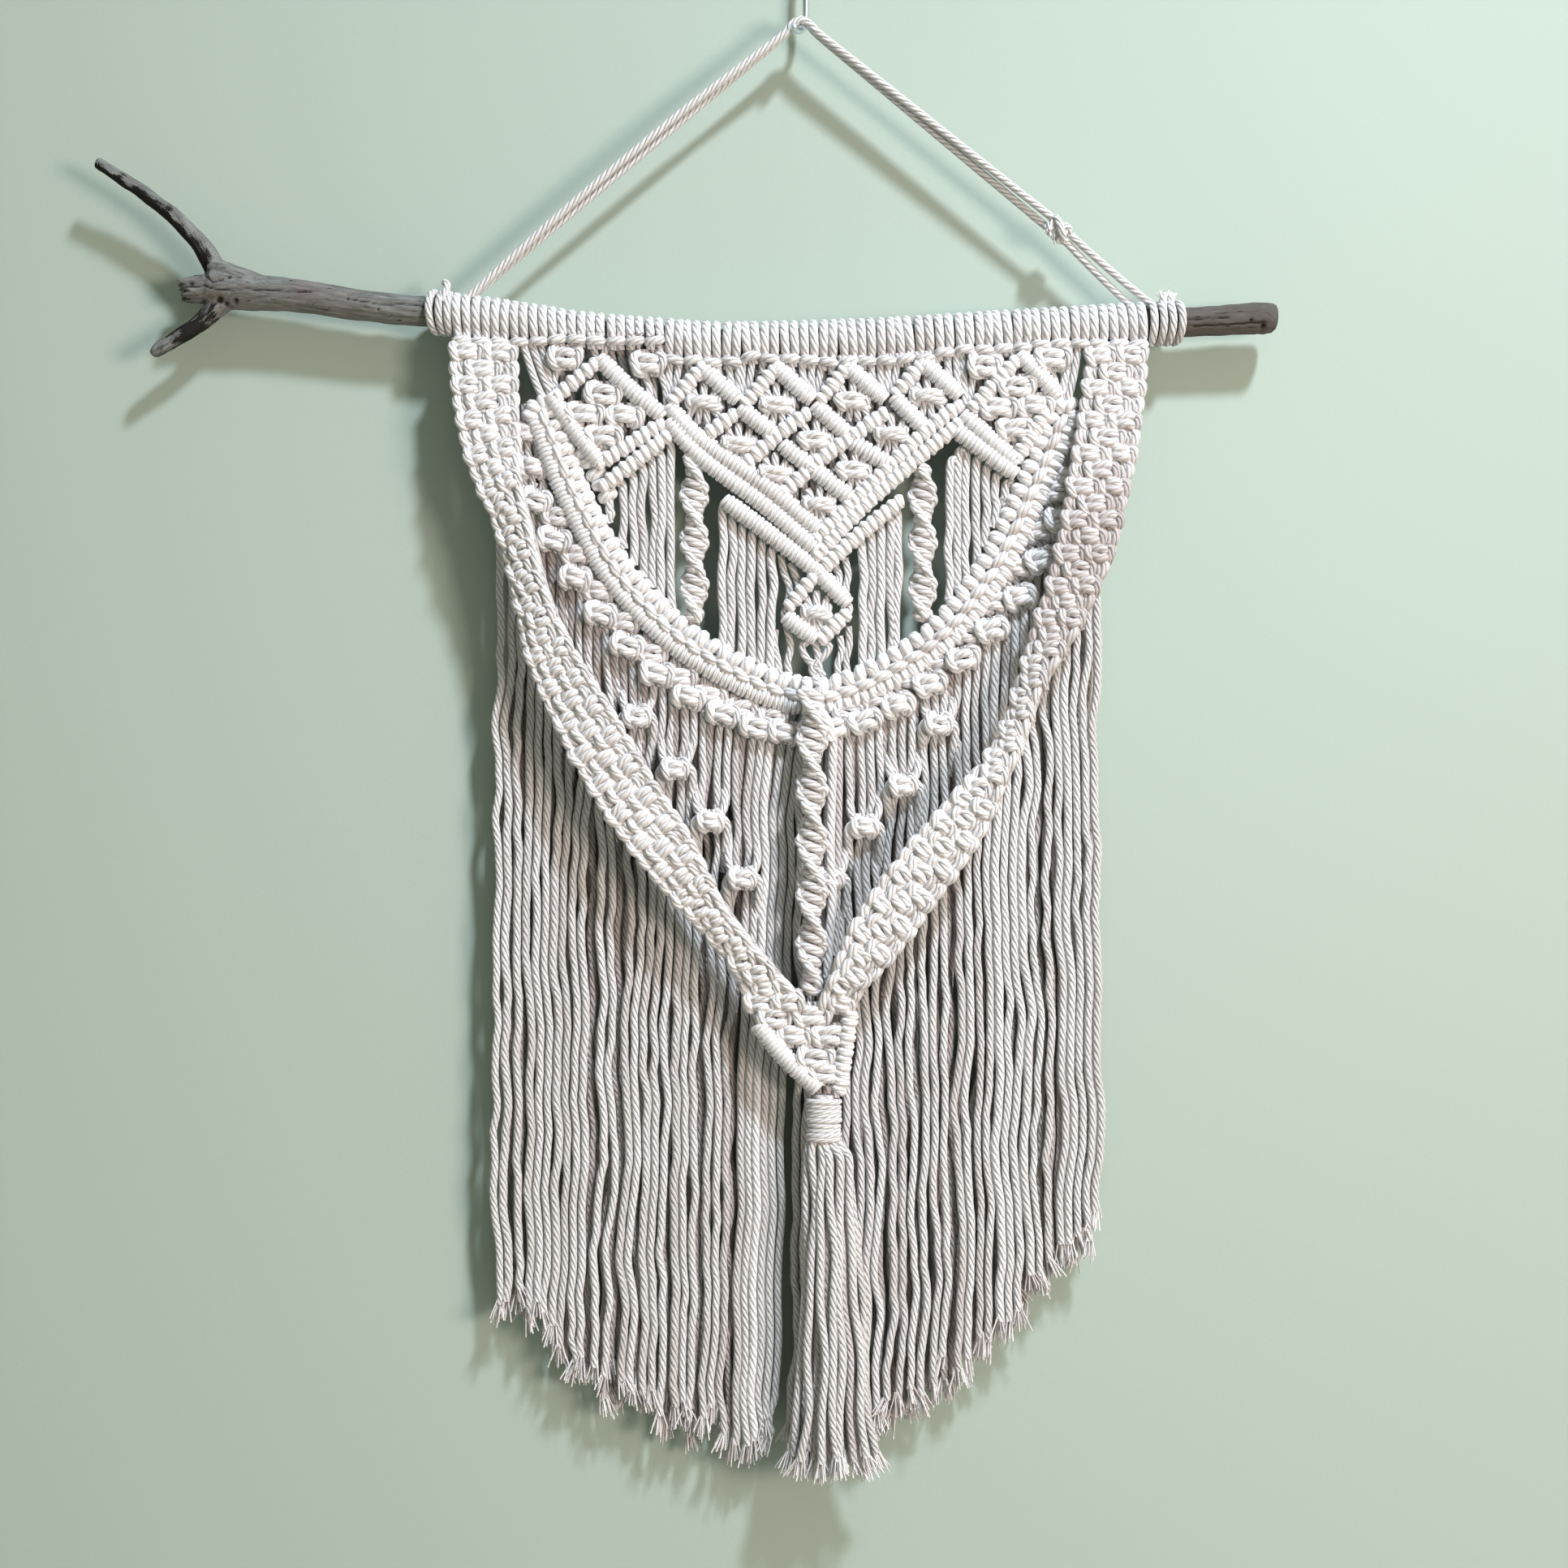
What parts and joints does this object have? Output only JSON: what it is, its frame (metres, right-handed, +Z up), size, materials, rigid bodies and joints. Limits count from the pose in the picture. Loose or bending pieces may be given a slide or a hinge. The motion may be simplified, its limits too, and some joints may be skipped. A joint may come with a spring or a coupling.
{
  "type": "macrame wall hanging with driftwood branch and wire hook",
  "caption": "Cotton macrame wall hanging on a forked driftwood branch, with knotted diamonds, draped straps, a tassel and a long fringe.",
  "frame": {"origin": "centre of the wire hook's flat end, where it meets the wall", "axes": "+X to the right as seen from the room, +Y into the wall, +Z up"},
  "size_m": [0.555, 0.0445, 0.7223],
  "materials": {
    "cotton_cord": "twisted natural cord, matt",
    "driftwood": "weathered grey-brown, bare",
    "steel_wire": "bright plated"
  },
  "bodies": {
    "root": {"hook": "steel_wire", "branch": "driftwood", "heading": "cotton_cord", "end_wrap_left": "cotton_cord", "end_wrap_right": "cotton_cord", "hanger_cord_a": "cotton_cord", "hanger_cord_b": "cotton_cord", "hanger_knot": "cotton_cord", "hanger_tail_a": "cotton_cord", "hanger_tail_b": "cotton_cord", "tie_left": "cotton_cord", "tie_right": "cotton_cord", "strap_left": "cotton_cord", "strap_right": "cotton_cord", "pair_left": "cotton_cord", "pair_right": "cotton_cord", "diamond_left": "cotton_cord", "diamond_right": "cotton_cord", "centre_net": "cotton_cord", "small_diamond": "cotton_cord", "comb_left": "cotton_cord", "comb_mid_left": "cotton_cord", "comb_mid_right": "cotton_cord", "comb_right": "cotton_cord", "spiral_left": "cotton_cord", "spiral_right": "cotton_cord", "smile_band": "cotton_cord", "knot_rows_left": "cotton_cord", "knot_rows_right": "cotton_cord", "centre_sinnet": "cotton_cord", "arrow": "cotton_cord", "gathering_wrap": "cotton_cord", "tassel": "cotton_cord", "fringe_left": "cotton_cord", "fringe_right": "cotton_cord"}
  },
  "joints": []
}
